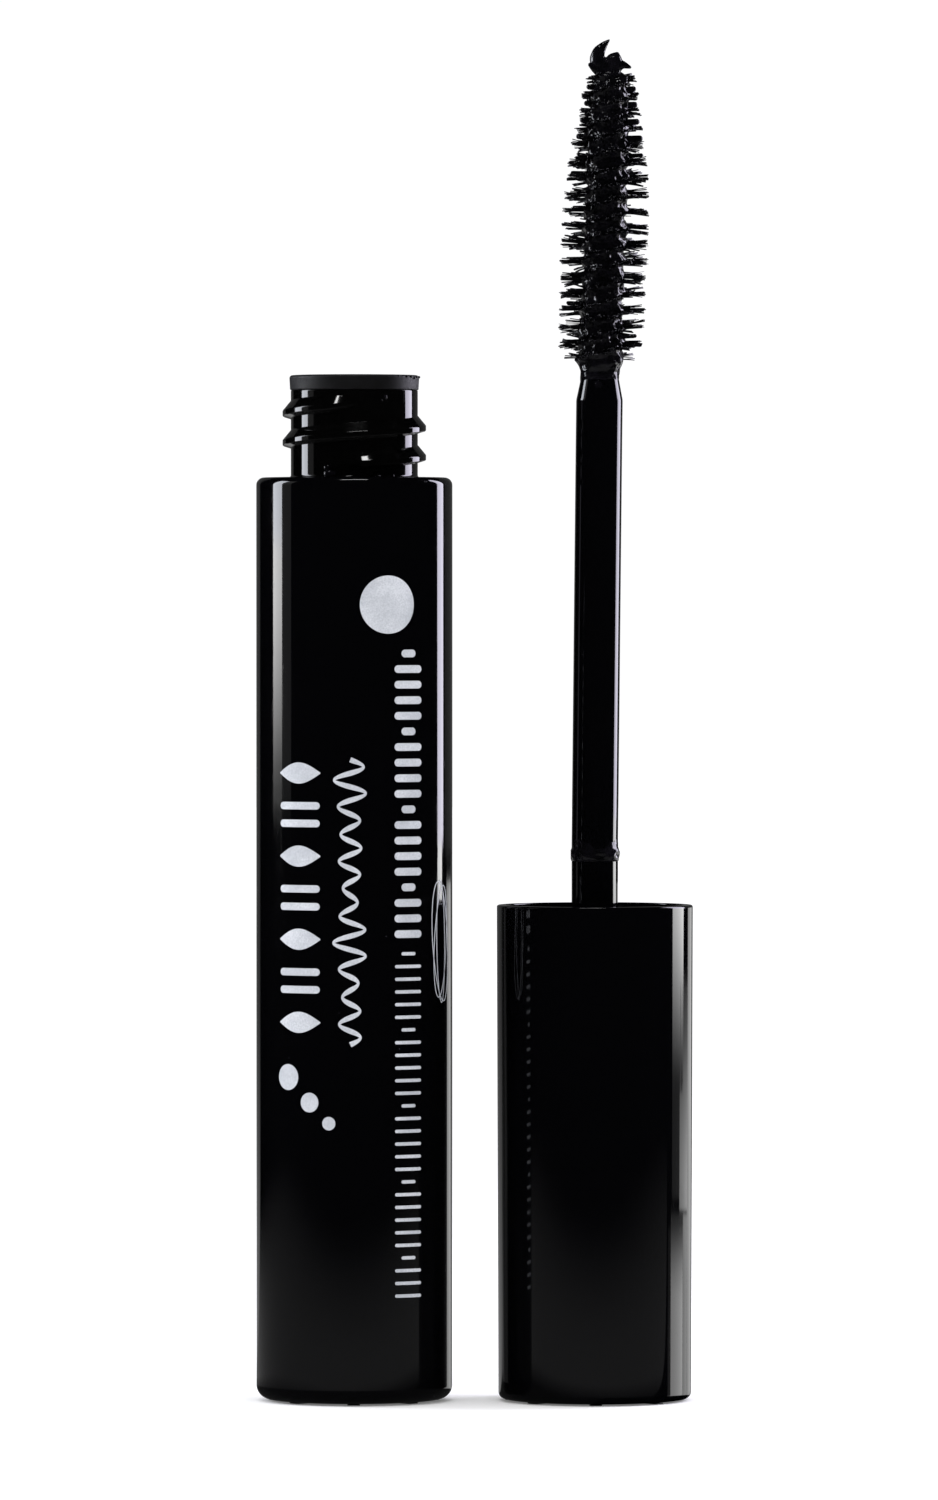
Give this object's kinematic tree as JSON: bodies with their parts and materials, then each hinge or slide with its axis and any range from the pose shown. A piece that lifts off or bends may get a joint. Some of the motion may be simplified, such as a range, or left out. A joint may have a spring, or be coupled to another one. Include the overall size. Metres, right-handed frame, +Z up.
{
  "type": "mascara tube",
  "caption": "Round gloss black mascara bottle with threaded neck and wiper, beside its screw cap with rod and bristle brush.",
  "frame": {"origin": "middle of the bottle's flat base, on the bottle's axis, at the surface it stands on", "axes": "+Z up along the bottle's axis, +X towards the applicator, which stands on its cap's closed end beside the bottle"},
  "size_m": [0.0423, 0.019, 0.1318],
  "materials": {
    "gloss_black": "polished moulded plastic",
    "vial_plastic": "polished moulded plastic",
    "wiper_rubber": "matte",
    "inner_cap_plastic": "satin",
    "washer_foam": "matte",
    "steel_wire": "drawn wire",
    "bristle_nylon": "satin fibre",
    "mascara": "wet"
  },
  "bodies": {
    "bottle": {"outer_bottle": "gloss_black", "inner_vial": "vial_plastic", "wiper": "wiper_rubber", "product_fill": "mascara"},
    "turned_tip": {"tip_drip": "mascara"},
    "inserted_ring": {"product_ring": "mascara"},
    "raised_washer": {"seal_washer": "washer_foam"},
    "applicator": {"cap_shell": "gloss_black", "inner_cap": "inner_cap_plastic", "rod": "gloss_black", "core_wire": "steel_wire", "bristles": "bristle_nylon", "product_on_brush": "mascara"}
  },
  "joints": [
    {"name": "turn_over", "type": "hinge", "parent": "bottle", "child": "turned_tip", "pos_m": [0.01165, 0, 0.12], "axis": [0, -1, 0], "range_deg": [0, 180], "deforming": ["tip_drip"]},
    {"name": "insert", "type": "slide", "parent": "turned_tip", "child": "inserted_ring", "axis": [0, 0, 1], "range_m": [0, 0.09743], "deforming": ["bristles", "product_on_brush", "product_fill", "product_ring"]},
    {"name": "screw_rise", "type": "slide", "parent": "inserted_ring", "child": "raised_washer", "axis": [0, 0, 1], "range_m": [0, 0.00497]},
    {"name": "cap_turn", "type": "hinge", "parent": "raised_washer", "child": "applicator", "pos_m": [0.0233, 0, 0.024], "axis": [0, 0, 1], "range_deg": [0, 630]}
  ],
  "couplings": [
    {"joint": "screw_rise", "follows": "cap_turn", "m_per_rad": 0.000452}
  ]
}
